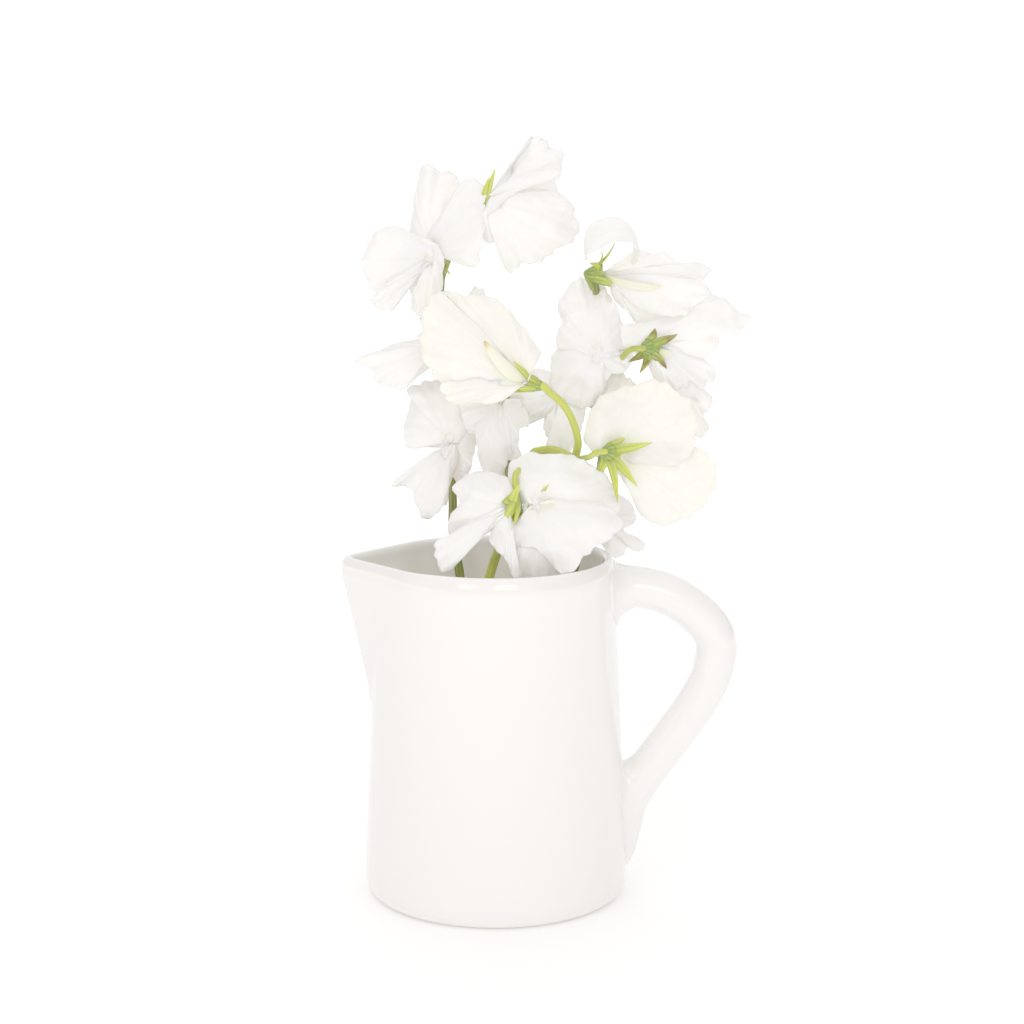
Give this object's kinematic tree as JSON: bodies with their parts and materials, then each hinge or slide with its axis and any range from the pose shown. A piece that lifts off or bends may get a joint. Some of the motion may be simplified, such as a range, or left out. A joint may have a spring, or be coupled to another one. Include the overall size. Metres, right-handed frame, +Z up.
{
  "type": "sweet peas in a ceramic pitcher",
  "caption": "Cut white sweet peas with stalked, ruffled flowers, standing loose in a tapered glazed pitcher with a pulled spout and a looped handle.",
  "frame": {"origin": "middle of the pitcher's base, on the surface that it stands on", "axes": "+Z up, spout towards -X, handle towards +X, the flowers' front side towards -Y"},
  "size_m": [0.1377, 0.0888, 0.2553],
  "materials": {
    "white_glaze": "gloss",
    "green_stem": "satin",
    "green_calyx": "satin",
    "white_petal": "matte",
    "cream_petal": "matte",
    "cream_keel": "matte"
  },
  "bodies": {
    "root": {"pitcher_body": "white_glaze", "pitcher_handle": "white_glaze", "stem_left": "green_stem", "stem_right": "green_stem", "stem_front": "green_stem", "stem_low": "green_stem", "stem_left_calyces": "green_calyx", "stem_right_calyces": "green_calyx", "stem_front_calyces": "green_calyx", "stem_low_calyces": "green_calyx", "flower_01_standard": "white_petal", "flower_01_wings": "white_petal", "flower_01_keel": "cream_keel", "flower_02_standard": "white_petal", "flower_02_wings": "white_petal", "flower_02_keel": "cream_keel", "flower_03_standard": "white_petal", "flower_03_wings": "white_petal", "flower_03_keel": "cream_keel", "flower_04_standard": "white_petal", "flower_04_wings": "white_petal", "flower_04_keel": "cream_keel", "flower_05_standard": "cream_petal", "flower_05_wings": "cream_petal", "flower_05_keel": "cream_keel", "flower_06_standard": "white_petal", "flower_06_wings": "white_petal", "flower_06_keel": "cream_keel", "flower_07_standard": "white_petal", "flower_07_wings": "white_petal", "flower_07_keel": "cream_keel", "flower_08_standard": "white_petal", "flower_08_wings": "white_petal", "flower_08_keel": "cream_keel", "flower_09_standard": "white_petal", "flower_09_wings": "white_petal", "flower_09_keel": "cream_keel", "flower_10_standard": "white_petal", "flower_10_wings": "white_petal", "flower_10_keel": "cream_keel", "flower_11_standard": "white_petal", "flower_11_wings": "white_petal", "flower_11_keel": "cream_keel", "flower_12_standard": "cream_petal", "flower_12_wings": "cream_petal", "flower_12_keel": "cream_keel", "flower_13_standard": "white_petal", "flower_13_wings": "white_petal", "flower_13_keel": "cream_keel", "flower_14_standard": "cream_petal", "flower_14_wings": "cream_petal", "flower_14_keel": "cream_keel", "flower_15_standard": "white_petal", "flower_15_wings": "white_petal", "flower_15_keel": "cream_keel"}
  },
  "joints": []
}
